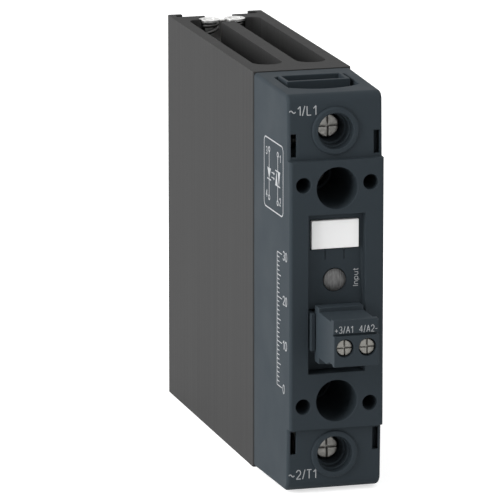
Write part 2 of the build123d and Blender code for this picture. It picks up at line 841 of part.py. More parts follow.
def plug_outside():
    """The control plug's outer form: tongue, collar, main block, label plate and front lip."""
    top = pole_z + plug_top
    bottom = pole_z - plug_bottom
    face = plug_front - label_setback
    body = slab(both(pole_pitch), (collar_front, face), (bottom, top))
    body += slab(both(pole_pitch), (collar_rear, collar_front), (pole_z - collar_bottom, pole_z + collar_top))
    label_bottom = pole_z + label_top - label_height
    body += slab(both(pole_pitch), (face - label_thickness, face), (label_bottom, pole_z + label_top))
    lip_bottom = pole_z - plug_lip_bottom
    lip_top = label_bottom - plug_groove
    body += slab(both(pole_pitch), (face - past, plug_front), (bottom, lip_top))
    body -= slab(both(sink_width), (face - label_setback, cover_depth * 2), (lip_top, label_bottom))
    relief_start = collar_front + plug_length / 2
    lip_rear = plug_front - plug_lip
    relief = side_cut(
        [
            (relief_start, bottom),
            (relief_start + 2 * plug_relief, bottom + plug_relief),
            (lip_rear, bottom + plug_relief),
            (lip_rear, lip_bottom),
            (plug_front + past, lip_bottom),
            (plug_front + past, bottom - past),
            (relief_start, bottom - past),
        ],
        sink_width,
    )
    body -= relief
    reach = (header_width / 2 - header_wall - clamp_gap, header_height / 2 - header_wall - clamp_gap)
    return body + slab(both(reach[0]), (tongue_rear, collar_rear), both(reach[1], pole_z))


def plug_body():
    """The plug moulding, bored for two screws and hollowed for their clamps and contacts."""
    body = plug_outside()
    bottom = pole_z - plug_bottom
    chamber_z = (bottom + plug_floor, pole_z + plug_chamber_top)
    for x in pole_xs():
        body -= rod(x, pole_z, (seat_ahead, plug_front + past), plug_screw_bore / 2)
        body -= rod(x, pole_z, (chamber_front - past, plug_front), plug_screw_shank / 2 + plug_web)
        chamber = (clamp_rear - clamp_gap, chamber_front)
        body -= slab(both(plug_chamber / 2, x), chamber, chamber_z)
        wire_hole = (clamp_rear + clamp_wall, contact_rear)
        body -= slab(both(clamp_opening / 2, x), wire_hole, (bottom - past, chamber_z[0] + past))
        socket = pin_size / 2 + thread_gap + socket_wall
        body -= slab(both(pin_size, x), (tongue_rear - past, collar_rear), both(pin_size / 2 + slip, pole_z))
        body -= slab(both(socket, x), (tongue_rear + clamp_gap, collar_rear), both(socket, pole_z))
        channel_top = contact_top
        body -= slab(both(socket, x), (header_mouth, collar_rear), (pole_z, channel_top))
        channel_bottom = contact_top - contact_thickness - clamp_gap
        body -= slab(both(socket, x), (header_mouth, contact_front), (channel_bottom, channel_top))
    return body


def plug_contact(x):
    """One contact: a square socket for the header pin, a riser, and the blade in the clamp."""
    bore = pin_size / 2 + thread_gap
    outer = bore + socket_wall
    socket_end = header_mouth + slip
    riser = (socket_end, socket_end + contact_thickness)
    arm = (contact_top - contact_thickness, contact_top)
    body = slab(both(outer, x), (tongue_rear + clamp_gap, socket_end), both(outer, pole_z))
    body -= slab(both(bore, x), (tongue_rear, socket_end), both(bore, pole_z))
    body += slab(both(outer, x), riser, (pole_z - outer, contact_top))
    body += slab(both(outer, x), (socket_end, contact_front), arm)
    blade = (pole_z - clamp_height / 2, contact_top)
    return body + slab(both(outer, x), (contact_rear, contact_front), blade)


def plug_clamp(x):
    """The rising clamp of one pole, drawn open."""
    height = both(clamp_height / 2, pole_z)
    half = plug_chamber / 2 - clamp_gap
    body = slab(both(half, x), (clamp_rear, clamp_front), height)
    body -= slab(both(half - clamp_wall, x), (clamp_rear + clamp_wall, clamp_inner), (-sink_half, sink_half))
    return body - rod(x, pole_z, (clamp_inner - past, clamp_front + past), plug_screw_shank / 2 + thread_gap)


def plug_screw(x):
    """The small combination-head screw of one pole."""
    front = seat_ahead + plug_screw_head_height
    body = rod(x, pole_z, (seat_ahead, front), plug_screw_head / 2)
    body = fillet(body.edges().filter_by(GeomType.CIRCLE).sort_by(Axis.Y)[0], plug_screw_edge)
    body += rod(x, pole_z, (contact_front + clamp_gap, seat_ahead), plug_screw_shank / 2)
    return body - drive_cross(x, pole_z, front, plug_screw_head, plug_screw_slot, plug_screw_slot_depth)


def marking_tag():
    """The snap-in tag: a plain plate with two pegs."""
    tag_top = tag_bottom + tag_size[2]
    body = slab(both(tag_size[0] / 2), (tag_rear, tag_front), (tag_bottom, tag_top))
    body = fillet(body.edges().filter_by(Axis.Y), tag_gap)
    for x in both(tag_peg_pitch / 2):
        peg = (tag_rear - tag_peg[1], tag_rear)
        body += slab(both(tag_peg[0] / 2, x), peg, both(tag_peg[0] / 2, (tag_bottom + tag_top) / 2))
    return body


# ---------------------------------------------------------------- rail clip
def hook(start_y, grip, towards_middle):
    """A bent hook round one lip of the rail: grip is the height of the leg's inner face."""
    outer = grip - towards_middle * hook_thickness
    tip = grip + towards_middle * hook_reach
    leg = block(both(hook_width / 2), (start_y, hook_rear), (grip, outer))
    return leg + block(both(hook_width / 2), (hook_rear - hook_thickness, hook_rear), (outer, tip))


def across_slot(z, y, radius):
    """A round bar along Y at height z in the module's middle plane."""
    return Pos(0, (y[0] + y[1]) / 2, z) * Rot(90, 0, 0) * Cylinder(radius, abs(y[1] - y[0]))


def clip_plate_piece():
    """The steel plate riveted into the heat sink's T-slot, with the fixed lower hook."""
    rear = recess + clip_plate
    top = lug_top + latch_travel + clip_plate_cover
    body = block(both(slot_half), (recess, rear), (-sink_half + clip_plate_end, top))
    body += hook(rear, -rail_height / 2 - rail_play, 1)
    slot = (slider_bottom - easy, lug_top + latch_travel + easy)
    body -= block(both(lug_width / 2 + easy), (recess - past, rear + past), slot)
    for z in rivet_stations:
        body -= across_slot(z, (recess - past, rear + past), rivet_radius + thread_gap)
    return body


def latch_slider():
    """The sprung latch behind the feet's lips: upper hook, release slot and the springs' lug."""
    front = recess + clip_plate
    top = sink_half - slider_end_gap
    body = block(both(slot_half), (front, slider_rear), (slider_bottom, top))
    body += hook(slider_rear, rail_height / 2 + rail_play, -1)
    release = (top - release_from_end - release_slot[1], top - release_from_end)
    body -= block(both(release_slot[0] / 2), (front - past, slider_rear + past), release)
    lug = (slider_bottom, lug_top)
    body += block(both(lug_width / 2), (front - lug_reach, front), lug)
    for side in (-1, 1):
        body += post(side * spring_port_offset, spring_y, lug, spring_port_radius - easy)
    return body


def clip_rivet(z):
    """One rivet through the clamp bar, the gap between the flanges and the clip plate."""
    bar_front = recess - flange_thickness - clamp_bar[1]
    rear = recess + clip_plate
    body = across_slot(z, (bar_front, rear), rivet_radius)
    body += across_slot(z, (bar_front - rivet_head_height, bar_front), rivet_head)
    return body + across_slot(z, (rear, rear + rivet_head_height), rivet_head)


def clamp_bar_piece():
    """The bar in the cavity behind the middle fin that the rivets pull against the flanges."""
    rear = recess - flange_thickness
    centre = sum(rivet_stations) / 2
    body = block(both(clamp_bar[0] / 2), (rear - clamp_bar[1], rear), both(clamp_bar[2] / 2, centre))
    for z in rivet_stations:
        body -= across_slot(z, (rear - clamp_bar[1] - past, rear + past), rivet_radius + thread_gap)
    return body


def latch_spring(side):
    """One coil spring in its port, from the slider's lug up to the plug."""
    mean_radius = spring_port_radius - easy - spring_wire
    height = spring_top - lug_top - 2 * spring_wire - 2 * thread_gap
    start = lug_top + spring_wire + thread_gap
    path = Pos(side * spring_port_offset, spring_y, start) * Helix(
        height / spring_turns, height, mean_radius
    )
    section = Plane(origin=path @ 0, z_dir=path % 0) * Circle(spring_wire)
    return sweep(section, path=path)


def spring_plug(side):
    """One round plug staked into the top of a spring port, with a ring groove in its face."""
    x = side * spring_port_offset
    body = post(x, spring_y, (spring_top, plug_face), spring_port_radius - thread_gap)
    groove = post(x, spring_y, (plug_face - spring_plug_groove, plug_face + past), spring_plug_ring[1])
    groove -= post(x, spring_y, (0, plug_face + 2 * past), spring_plug_ring[0])
    return body - groove


# ---------------------------------------------------------------- writing the pieces
def pair(shape):
    """The upper piece and its half-turned twin, as separate solids of one node."""
    return [shape, flipped(shape)]


def pieces():
    """Every node of the module, by name."""
    left, right = pole_xs()
    return {
        "heat_sink": heat_sink(),
        "front_housing": front_housing(),
        "thermal_pad": thermal_pad(),
        "base_plate": base_plate(),
        "ceramic_substrate": ceramic_substrate(),
        "copper_pads": pair(copper_pad()),
        "thyristor_dies": pair(thyristor_die()),
        "die_bridges": pair(die_bridge()),
        "gate_pins": gate_pins(),
        "line_busbar": busbar(),
        "load_busbar": flipped(busbar()),
        "upper_terminal_cage": terminal_cage(),
        "lower_terminal_cage": flipped(terminal_cage()),
        "upper_pressure_plate": pressure_plate(),
        "lower_pressure_plate": flipped(pressure_plate()),
        "upper_terminal_screw": terminal_screw(),
        "lower_terminal_screw": flipped(terminal_screw()),
        "upper_wire_guide": wire_guide(),
        "lower_wire_guide": flipped(wire_guide()),
        "fixing_screws": pair(fixing_screw()),
        "fixing_washers": pair(fixing_washer()),
        "control_board": control_board(),
        "optocoupler": on_board_front(opto_size, 0, opto_z),
        "chip_resistors": chip_resistors(),
        "snubber_capacitor": snubber_capacitor(),
        "varistor": on_board_back(varistor_size, *varistor_place),
        "current_regulator": on_board_back(regulator_size, *regulator_place),
        "indicator_led": led(),
        "led_spacer": led_spacer(),
        "led_leads": led_leads(),
        "header_housing": header_housing(),
        "header_pins": header_pins(),
        "plug_body": plug_body(),
        "plug_contacts": [plug_contact(left), plug_contact(right)],
        "left_plug_clamp": plug_clamp(left),
        "right_plug_clamp": plug_clamp(right),
        "left_plug_screw": plug_screw(left),
        "right_plug_screw": plug_screw(right),
        "marking_tag": marking_tag(),
        "clip_plate": clip_plate_piece(),
        "latch_slider": latch_slider(),
        "clip_rivets": [clip_rivet(z) for z in rivet_stations],
        "clamp_bar": clamp_bar_piece(),
        "latch_springs": [latch_spring(-1), latch_spring(1)],
        "spring_plugs": [spring_plug(-1), spring_plug(1)],
    }


os.makedirs("parts", exist_ok=True)
for name, shape in pieces().items():
    if isinstance(shape, list):
        shape = Compound(children=[Part() + solid for solid in shape])
    export_step(shape, f"parts/{name}.step")
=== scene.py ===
# %% [markdown]
# # A solid state relay on its heat sink
#
# This lesson finishes the model of a single-phase solid state relay: a charcoal moulded cover with
# two power terminals and a small pluggable control connector, screwed to a black anodised aluminium
# extrusion that clips onto a mounting rail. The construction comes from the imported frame, in
# metres, with +X to the right, +Y towards the rail and +Z up. The lesson adds the camera, the
# studio, every finish, softened edges, coiled springs and the printed marks.

# %% Load the frame
import json
import math

import bmesh
import bpy
import numpy as np
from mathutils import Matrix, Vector

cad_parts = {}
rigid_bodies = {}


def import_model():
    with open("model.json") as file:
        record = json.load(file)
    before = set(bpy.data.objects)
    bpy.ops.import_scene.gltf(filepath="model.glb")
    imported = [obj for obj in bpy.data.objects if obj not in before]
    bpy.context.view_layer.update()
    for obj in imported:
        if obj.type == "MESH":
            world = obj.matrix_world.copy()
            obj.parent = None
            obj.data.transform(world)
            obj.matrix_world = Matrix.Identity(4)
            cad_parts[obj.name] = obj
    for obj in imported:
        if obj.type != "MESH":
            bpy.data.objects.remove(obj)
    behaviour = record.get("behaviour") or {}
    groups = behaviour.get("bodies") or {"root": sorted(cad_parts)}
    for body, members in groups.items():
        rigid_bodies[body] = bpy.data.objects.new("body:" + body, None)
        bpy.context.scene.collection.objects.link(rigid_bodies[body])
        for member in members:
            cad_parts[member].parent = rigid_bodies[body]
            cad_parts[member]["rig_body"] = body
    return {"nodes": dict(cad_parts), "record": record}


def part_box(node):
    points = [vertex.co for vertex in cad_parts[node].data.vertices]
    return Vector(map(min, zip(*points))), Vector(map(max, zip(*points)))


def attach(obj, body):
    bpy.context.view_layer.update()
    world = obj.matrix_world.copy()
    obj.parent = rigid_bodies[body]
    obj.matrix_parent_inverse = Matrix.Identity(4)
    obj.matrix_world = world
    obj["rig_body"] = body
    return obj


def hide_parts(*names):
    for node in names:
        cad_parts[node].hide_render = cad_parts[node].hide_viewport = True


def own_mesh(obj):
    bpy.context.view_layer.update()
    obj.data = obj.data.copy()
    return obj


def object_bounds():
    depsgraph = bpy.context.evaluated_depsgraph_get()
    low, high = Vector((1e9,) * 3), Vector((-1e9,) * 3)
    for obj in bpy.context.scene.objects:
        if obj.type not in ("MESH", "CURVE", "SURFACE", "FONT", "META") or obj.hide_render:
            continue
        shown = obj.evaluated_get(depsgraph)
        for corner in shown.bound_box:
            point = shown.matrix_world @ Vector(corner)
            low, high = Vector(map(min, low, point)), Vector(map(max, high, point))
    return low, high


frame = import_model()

cad_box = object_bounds()
MM = 0.001
low, high = (np.array(corner) for corner in cad_box)
centre = (low + high) / 2
print("frame loaded:", len(frame["nodes"]), "nodes, size in mm", np.round((high - low) / MM, 1))

# %% [markdown]
# ## Camera
#
# The relay is seen from its front left corner and a little from above, through a long lens, so its
# upright edges stay nearly parallel. The camera is placed by two angles and a distance: the angles
# turn three unit directions (backwards, right and up), and two small shifts along right and up
# set the framing. That is easier to read, and to change, than a bare position and rotation.

# %% Place the camera
camera_turn = math.radians(15.932)      # round to the left of the front face
camera_raise = math.radians(12.764)     # above the horizontal
camera_distance = 1313.2 * MM
camera_right = -11.48 * MM              # framing shifts from the aiming point
camera_up = 47.85 * MM
sink_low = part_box("heat_sink")[0]
aim = Vector((0, sink_low.y, sink_low.z))   # foot of the seam between the heat sink and the cover

backwards = Vector((-math.sin(camera_turn) * math.cos(camera_raise),
                    -math.cos(camera_turn) * math.cos(camera_raise),
                    math.sin(camera_raise)))
rightwards = Vector((math.cos(camera_turn), -math.sin(camera_turn), 0))
upwards = backwards.cross(rightwards)

camera = bpy.data.objects.new("camera", bpy.data.cameras.new("camera"))
camera.data.lens = 421.6                # focal length and sensor width, in millimetres
camera.data.sensor_width = 36
camera.data.clip_end = 100              # metres
camera.location = (aim + rightwards * camera_right + upwards * camera_up
                   + backwards * camera_distance)
camera.rotation_euler = backwards.to_track_quat("Z", "Y").to_euler()
bpy.context.scene.collection.objects.link(camera)
bpy.context.scene.camera = camera
bpy.context.scene.view_settings.view_transform = "Standard"
print("camera at", np.round(camera.location, 3))

# %% [markdown]
# ## Studio
#
# A product shot of a dark object wants a white sweep, one large soft light from the left that opens
# up the side, a weaker one from above and a faint fill from the front. The floor and the world show
# white to the camera and in reflections, through the Light Path node, while the light that they
# really give stays modest, so a colour renders about as it is written.

# %% Helpers that build node trees
def add(tree, kind, **settings):
    """Adds a node. A setting that names an input socket, with _ for a space, sets that socket."""
    node = tree.nodes.new("ShaderNode" + kind)
    for name, value in settings.items():
        socket = node.inputs.get(name.replace("_", " "))
        if socket is not None:
            socket.default_value = value
        else:
            setattr(node, name, value)
    return node


def join(tree, source, target):
    """Wires an output socket to an input socket."""
    tree.links.new(source, target)


def calculate(tree, operation, first, second):
    """One Math node; each term is a socket or a number, and the result is its output socket."""
    node = add(tree, "Math", operation=operation)
    for socket, term in zip(node.inputs, (first, second)):
        if isinstance(term, bpy.types.NodeSocket):
            join(tree, term, socket)
        else:
            socket.default_value = term
    return node.outputs[0]


def seen_as_backdrop(tree):
    """1 on rays from the camera, a mirror or clear plastic, and 0 on those of diffuse light."""
    rays = add(tree, "LightPath").outputs
    straight = calculate(tree, "MAXIMUM", rays["Is Camera Ray"], rays["Is Glossy Ray"])
    return calculate(tree, "MAXIMUM", straight, rays["Is Transmission Ray"])


# %% White surroundings
world_light = 0.36          # brightness of the surroundings as a light
world = bpy.data.worlds.new("studio")
world.use_nodes = True
bpy.context.scene.world = world
tree = world.node_tree
background = tree.nodes["Background"]
background.inputs["Color"].default_value = (1, 1, 1, 1)
white_part = calculate(tree, "MULTIPLY", seen_as_backdrop(tree), 1 - world_light)
strength = calculate(tree, "ADD", white_part, world_light)
join(tree, strength, background.inputs["Strength"])

# %% Floor that shows white and still takes a shadow
floor_half = 10.0
floor_gap = 0.02 * MM       # keeps the floor and the relay's foot from sharing a plane
floor_glow = 0.62           # share of the floor's white that no shadow can darken
floor_mesh = bpy.data.meshes.new("floor")
floor_signs = ((-1, -1), (1, -1), (1, 1), (-1, 1))
floor_corners = [(x * floor_half, y * floor_half, low[2] - floor_gap) for x, y in floor_signs]
floor_mesh.from_pydata(floor_corners, [], [(0, 1, 2, 3)])
floor = bpy.data.objects.new("floor", floor_mesh)
bpy.context.scene.collection.objects.link(floor)

floor_material = bpy.data.materials.new("studio_floor")
floor_material.use_nodes = True
tree = floor_material.node_tree
tree.nodes.clear()
paper = add(tree, "BsdfDiffuse", Color=(0.8, 0.8, 0.8, 1))
glow = add(tree, "Emission", Color=(1, 1, 1, 1), Strength=floor_glow)
lit_paper = add(tree, "AddShader")
join(tree, paper.outputs[0], lit_paper.inputs[0])
join(tree, glow.outputs[0], lit_paper.inputs[1])
choice = add(tree, "MixShader")
join(tree, seen_as_backdrop(tree), choice.inputs[0])
join(tree, paper.outputs[0], choice.inputs[1])
join(tree, lit_paper.outputs[0], choice.inputs[2])
join(tree, choice.outputs[0], add(tree, "OutputMaterial").inputs["Surface"])
floor_mesh.materials.append(floor_material)


# %% Soft boxes
def softbox(name, direction, distance, size, brightness):
    """A square lamp that faces the relay from a direction, its distance and width in metres.

    Its power is its brightness times pi times its area.
    """
    lamp = bpy.data.lights.new(name, "AREA")
    lamp.size = size
    lamp.energy = brightness * math.pi * size ** 2
    stand = bpy.data.objects.new(name, lamp)
    away = Vector(direction).normalized()
    stand.location = Vector(centre) + away * distance
    stand.rotation_euler = away.to_track_quat("Z", "Y").to_euler()
    bpy.context.scene.collection.objects.link(stand)


softbox("key_light", (-1.0, -0.12, 0.24), 1.1, 1.1, 6.0)
softbox("top_light", (0.1, -0.25, 1.0), 1.2, 1.0, 1.0)
softbox("front_fill", (0.25, -1.0, 0.35), 1.6, 1.2, 1.1)
softbox("rim_light", (1.0, 0.8, 0.6), 1.4, 1.0, 0.9)

# %% [markdown]
# ## Finishes
#
# Every surface of the relay is one of a few families: fine-grained mouldings, the anodised
# extrusion, plated or turned metal, and the coated parts inside. Each family is one function that
# builds a node tree from object coordinates, in metres, so a grain of a quarter of a millimetre is
# written as that, and the same pattern runs at true scale over every part. Image textures would
# need unwrapping and fix a resolution; these patterns need neither.

# %% Helpers for finishes
def start_finish(name, metallic=0.0, specular=0.5):
    """A new material, its tree, its shader and the object coordinates that its patterns read."""
    material = bpy.data.materials.new(name)
    material.use_nodes = True
    shader = material.node_tree.nodes["Principled BSDF"]
    shader.inputs["Metallic"].default_value = metallic
    shader.inputs["Specular IOR Level"].default_value = specular
    place = add(material.node_tree, "TexCoord").outputs["Object"]
    return material, material.node_tree, shader, place


def stretched(tree, place, waves, middle=(0, 0, 0)):
    """Coordinates from a middle point, counted in so many waves per metre along X, Y and Z."""
    node = add(tree, "Mapping", Scale=waves, Location=[-m * w for m, w in zip(middle, waves)])
    join(tree, place, node.inputs["Vector"])
    return node.outputs["Vector"]


def cloud(tree, vector, waves=1.0, detail=2.0):
    """Smooth random variation from 0 to 1, in waves per unit of the vector."""
    node = add(tree, "TexNoise", Scale=waves, Detail=detail)
    join(tree, vector, node.inputs["Vector"])
    return node.outputs[0]


def ranged(tree, amount, first, last, start=0.3, end=0.7):
    """first where amount is start, last where it is end, and a straight run between."""
    node = add(tree, "MapRange")
    for socket, value in zip(list(node.inputs)[1:5], (start, end, first, last)):
        socket.default_value = value
    join(tree, amount, node.inputs[0])
    return node.outputs[0]


def blended(tree, amount, first, last):
    """A mix of two colours; each is three numbers or a colour socket."""
    node = add(tree, "Mix", data_type="RGBA")
    join(tree, amount, node.inputs[0])
    for socket, colour in ((node.inputs[6], first), (node.inputs[7], last)):
        if isinstance(colour, bpy.types.NodeSocket):
            join(tree, colour, socket)
        else:
            socket.default_value = (*colour, 1)
    return node.outputs[2]


def shaded(colour, factor):
    """The colour made lighter or darker by a factor."""
    return tuple(min(1.0, channel * factor) for channel in colour)


def mottled(tree, amount, colour, darkest, lightest):
    """The colour times the first factor where amount is 0, times the second where it is 1."""
    return blended(tree, amount, shaded(colour, darkest), shaded(colour, lightest))


def wave_scale(pitch):
    """The Wave Texture's scale for a pitch in metres: at scale 1 its waves are pi / 10 apart."""
    return math.pi / (10 * pitch)


def relief(tree, shader, height, depth):
    """Dents the surface: a height pattern from 0 to 1, worth so many metres."""
    node = add(tree, "Bump", Distance=depth, Strength=1.0)
    join(tree, height, node.inputs["Height"])
    join(tree, node.outputs["Normal"], shader.inputs["Normal"])


# %% [markdown]
# ### Fine-grained mouldings
#
# The cover, plug, guides and tag come from spark-eroded moulds, which leave a soft, even grain.
# Under it the colour of a filled plastic is never quite even: it drifts by a few percent over a
# centimetre or so. Two noises do this, one fine for the grain's relief and one broad for the drift,
# and the broad one also moves the roughness, as handling and the flow of the melt do.

# %% Moulded plastic
mould_specular = 0.12
mould_drift_waves = 90              # per metre
mould_grain_depth = 0.006 * MM


def moulded_plastic(name, colour, roughness=0.68, grain=0.25 * MM, drift=0.06):
    """Filled plastic: an eroded grain of a size in metres, and a colour that drifts by a share."""
    material, tree, shader, place = start_finish(name, specular=mould_specular)
    broad = cloud(tree, place, mould_drift_waves, detail=3)
    fine = cloud(tree, place, 1 / grain, detail=3)
    join(tree, mottled(tree, broad, colour, 1 - drift, 1 + drift), shader.inputs["Base Color"])
    join(tree, ranged(tree, broad, roughness - 0.05, roughness + 0.05), shader.inputs["Roughness"])
    relief(tree, shader, fine, mould_grain_depth)
    return material


# %% [markdown]
# ### The extrusion
#
# The heat sink is pushed through a die, so faint lines run its whole height, and it is then sawn to
# length and anodised black. Noise stretched along Z gives the die lines. On the two end faces,
# where the surface faces along Z, noise stretched across the part gives the saw's marks instead,
# and the colour there is painted darker: painted shade, which shows on the top end face seen from
# above.

# %% Anodised extrusion
die_line_waves = (2600, 2600, 9)    # per metre along X, Y and Z
saw_mark_waves = (160, 3400, 160)
end_facing = 0.9                    # a normal's share along Z from which a face counts as sawn


def anodised_extrusion(name, colour, roughness=0.66):
    """Dyed anodised aluminium: die lines along Z on the sides, saw marks and painted shade on the
    ends.
    """
    material, tree, shader, place = start_finish(name, specular=0.14)
    die_lines = cloud(tree, stretched(tree, place, die_line_waves), detail=3)
    saw_marks = cloud(tree, stretched(tree, place, saw_mark_waves), detail=3)
    facing = add(tree, "SeparateXYZ")
    join(tree, add(tree, "TexCoord").outputs["Normal"], facing.inputs[0])
    along_z = calculate(tree, "ABSOLUTE", facing.outputs["Z"], 0.0)
    on_end = calculate(tree, "GREATER_THAN", along_z, end_facing)
    either = add(tree, "Mix", data_type="FLOAT")
    for number, source in ((0, on_end), (2, die_lines), (3, saw_marks)):    # factor, first, last
        join(tree, source, either.inputs[number])
    marks = either.outputs[0]
    drawn = mottled(tree, marks, colour, 0.96, 1.04)
    # painted shade: the end faces, the top one among them, are coloured much darker than the sides
    sawn_with_painted_shade = mottled(tree, marks, colour, 0.55, 0.75)
    join(tree, blended(tree, on_end, drawn, sawn_with_painted_shade), shader.inputs["Base Color"])
    join(tree, ranged(tree, marks, roughness - 0.04, roughness + 0.04), shader.inputs["Roughness"])
    relief(tree, shader, marks, 0.004 * MM)
    return material


# %% [markdown]
# ### Metals
#
# A screw head is turned, which leaves fine rings round its axis, so its wave texture is centred on
# that axis by a Mapping node, and the plating drum leaves shallow dents. Sheet parts carry the
# straight grain of rolling and a cloudy plating whose roughness and tint wander a little. Both are
# fully metallic: their colour is the reflection's.

# %% Turned and rolled metal
plating_waves = 700                 # per metre
dent_waves = 1700
dent_depth = 9.0                    # in depths of a turned ring


def plating(tree, shader, place, colour, roughness):
    """The cloudy colour and roughness of a thin plated layer."""
    broad = cloud(tree, place, plating_waves, detail=4)
    join(tree, mottled(tree, broad, colour, 0.82, 1.1), shader.inputs["Base Color"])
    join(tree, ranged(tree, broad, roughness - 0.08, roughness + 0.1), shader.inputs["Roughness"])


def turned_metal(name, colour, roughness, axis_point, ring=0.16 * MM):
    """Metal turned about an axis along Y: rings of the given pitch, dented by tumbling."""
    material, tree, shader, place = start_finish(name, metallic=1.0)
    plating(tree, shader, place, colour, roughness)
    rings = add(tree, "TexWave", wave_type="RINGS", rings_direction="Y", Distortion=1.5, Detail=2.0)
    rings.inputs["Scale"].default_value = wave_scale(ring)
    join(tree, stretched(tree, place, (1, 1, 1), axis_point), rings.inputs["Vector"])
    dents = calculate(tree, "MULTIPLY", cloud(tree, place, dent_waves, detail=3), dent_depth)
    relief(tree, shader, calculate(tree, "ADD", rings.outputs["Fac"], dents), 0.012 * MM)
    return material


def rolled_metal(name, colour, roughness, grain=(60, 60, 4000)):
    """Rolled or drawn metal: a grain in waves per metre along X, Y and Z, under its plating."""
    material, tree, shader, place = start_finish(name, metallic=1.0)
    plating(tree, shader, place, colour, roughness)
    relief(tree, shader, cloud(tree, stretched(tree, place, grain), detail=2), 0.01 * MM)
    return material


# %% [markdown]
# ### Coated and clear parts
#
# The board's green resist, the dipped varistor and the film capacitor are glossy coats with a
# slight orange peel. The status lamp is a smoked lens filled with diffusing powder: unlit it looks
# grey and mottled, and some light goes through it, which a part share of transmission gives. Its
# face is moulded with fine upright ribs, and towards its rim its colour is painted darker, as
# painted shade for the dome's edge turning from the light and for the shadowed gap round it.

# %% Coats and the lamp's lens
coat_cloud_waves = 250              # per metre
powder_waves = (1500, 1500, 500)    # per metre along X, Y and Z
rib_pitch = 0.55 * MM
# painted shade at the lens's rim, between these shares of its radius
painted_shade_start, painted_shade_end = 0.58, 0.88     # the lens darkens between these shares of its radius


def glossy_coat(name, colour, roughness=0.25, peel=0.6 * MM):
    """A dipped or printed coat with orange peel of the given size."""
    material, tree, shader, place = start_finish(name)
    shader.inputs["Coat Weight"].default_value = 0.3
    broad = cloud(tree, place, coat_cloud_waves, detail=3)
    join(tree, mottled(tree, broad, colour, 0.9, 1.1), shader.inputs["Base Color"])
    join(tree, ranged(tree, broad, roughness, roughness + 0.1), shader.inputs["Roughness"])
    relief(tree, shader, cloud(tree, place, 1 / peel), 0.01 * MM)
    return material


def smoked_lens(name, colour, axis_point, radius):
    """A grey diffusing lens about an axis along Y: cloudy, finely ribbed, and with painted shade at
    its rim.
    """
    material, tree, shader, place = start_finish(name)
    shader.inputs["Transmission Weight"].default_value = 0.15
    shader.inputs["IOR"].default_value = 1.5
    powder = cloud(tree, stretched(tree, place, powder_waves), detail=5)
    from_axis = add(tree, "VectorMath", operation="LENGTH")
    in_radii = (1 / radius, 0, 1 / radius)
    join(tree, stretched(tree, place, in_radii, axis_point), from_axis.inputs[0])
    body = mottled(tree, ranged(tree, powder, 0.0, 1.0), colour, 0.55, 1.6)
    # painted shade: darker towards the rim, where the dome turns from the light and the gap round
    # it is in shadow
    rim = ranged(tree, from_axis.outputs["Value"], 0.0, 1.0, painted_shade_start, painted_shade_end)
    join(tree, blended(tree, rim, body, shaded(colour, 0.35)), shader.inputs["Base Color"])
    join(tree, ranged(tree, powder, 0.3, 0.45), shader.inputs["Roughness"])
    ribs = add(tree, "TexWave", wave_type="BANDS", bands_direction="X", Distortion=0.6, Detail=1.0)
    ribs.inputs["Scale"].default_value = wave_scale(rib_pitch)
    join(tree, place, ribs.inputs["Vector"])
    relief(tree, shader, ribs.outputs["Fac"], 0.05 * MM)
    return material


# %% [markdown]
# ### Which part has which finish
#
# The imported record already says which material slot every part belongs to, so one finish per slot
# is enough, and a dictionary pairs them. Screws are the exception: their rings must be centred on
# their own axis, so each screw gets its own copy of the turned finish.

# %% One finish for each slot of the record
charcoal = (0.0245, 0.0325, 0.0390)
lamp_low, lamp_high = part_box("indicator_led")
lamp_middle = (lamp_low + lamp_high) / 2
lamp_radius = (lamp_high.z - lamp_low.z) / 2
finishes = {
    "sink_aluminium": anodised_extrusion("black_anodised_extrusion", (0.027, 0.027, 0.027)),
    "pad_foil": rolled_metal("heat_conducting_foil", (0.45, 0.46, 0.48), 0.5, grain=(300, 60, 300)),
    "base_metal": rolled_metal("milled_base_metal", (0.62, 0.63, 0.65), 0.35),
    "ceramic_white": moulded_plastic("fired_alumina", (0.80, 0.80, 0.78), 0.7, grain=0.1 * MM,
                                     drift=0.02),
    "copper": rolled_metal("bare_copper", (0.72, 0.40, 0.26), 0.35),
    "silicon": glossy_coat("metallised_silicon", (0.16, 0.17, 0.20), 0.15),
    "tinned_metal": rolled_metal("tin_plate", (0.72, 0.71, 0.68), 0.35),
    "cage_steel": rolled_metal("zinc_plated_steel", (0.50, 0.49, 0.46), 0.4),
    "guide_plastic": moulded_plastic("guide_moulding", shaded(charcoal, 0.95)),
    "housing_plastic": moulded_plastic("cover_moulding", charcoal),
    "board_laminate": glossy_coat("green_solder_resist", (0.03, 0.16, 0.07), 0.3),
    "package_black": moulded_plastic("black_package", (0.02, 0.02, 0.022), 0.5, grain=0.12 * MM),
    "capacitor_plastic": glossy_coat("film_capacitor_case", (0.55, 0.36, 0.08), 0.35),
    "varistor_coating": glossy_coat("varistor_dip", (0.05, 0.13, 0.35), 0.25),
    "lamp_lens": smoked_lens("smoked_lamp_lens", (0.1, 0.1, 0.1), lamp_middle, lamp_radius),
    "plug_plastic": moulded_plastic("plug_moulding", charcoal, 0.6),
    "tag_plastic": moulded_plastic("white_tag", (0.91, 0.91, 0.91), 0.5, grain=0.15 * MM,
                                   drift=0.012),
    "clip_steel": rolled_metal("zinc_plated_sheet", (0.42, 0.42, 0.41), 0.38, grain=(4000, 60, 60)),
    "spring_steel": rolled_metal("phosphated_spring_wire", (0.09, 0.09, 0.088), 0.5,
                                 grain=(900, 900, 900)),
    "plug_metal": rolled_metal("stamped_end_cap", (0.72, 0.72, 0.71), 0.35, grain=(900, 900, 900)),
}
screw_finishes = {      # colour and roughness
    "screw_steel": ((0.27, 0.265, 0.25), 0.42),
    "plug_screw_steel": ((0.2, 0.195, 0.18), 0.4),
}
slot_of = {part["node"]: part["material_slot"] for part in frame["record"]["subparts"]}


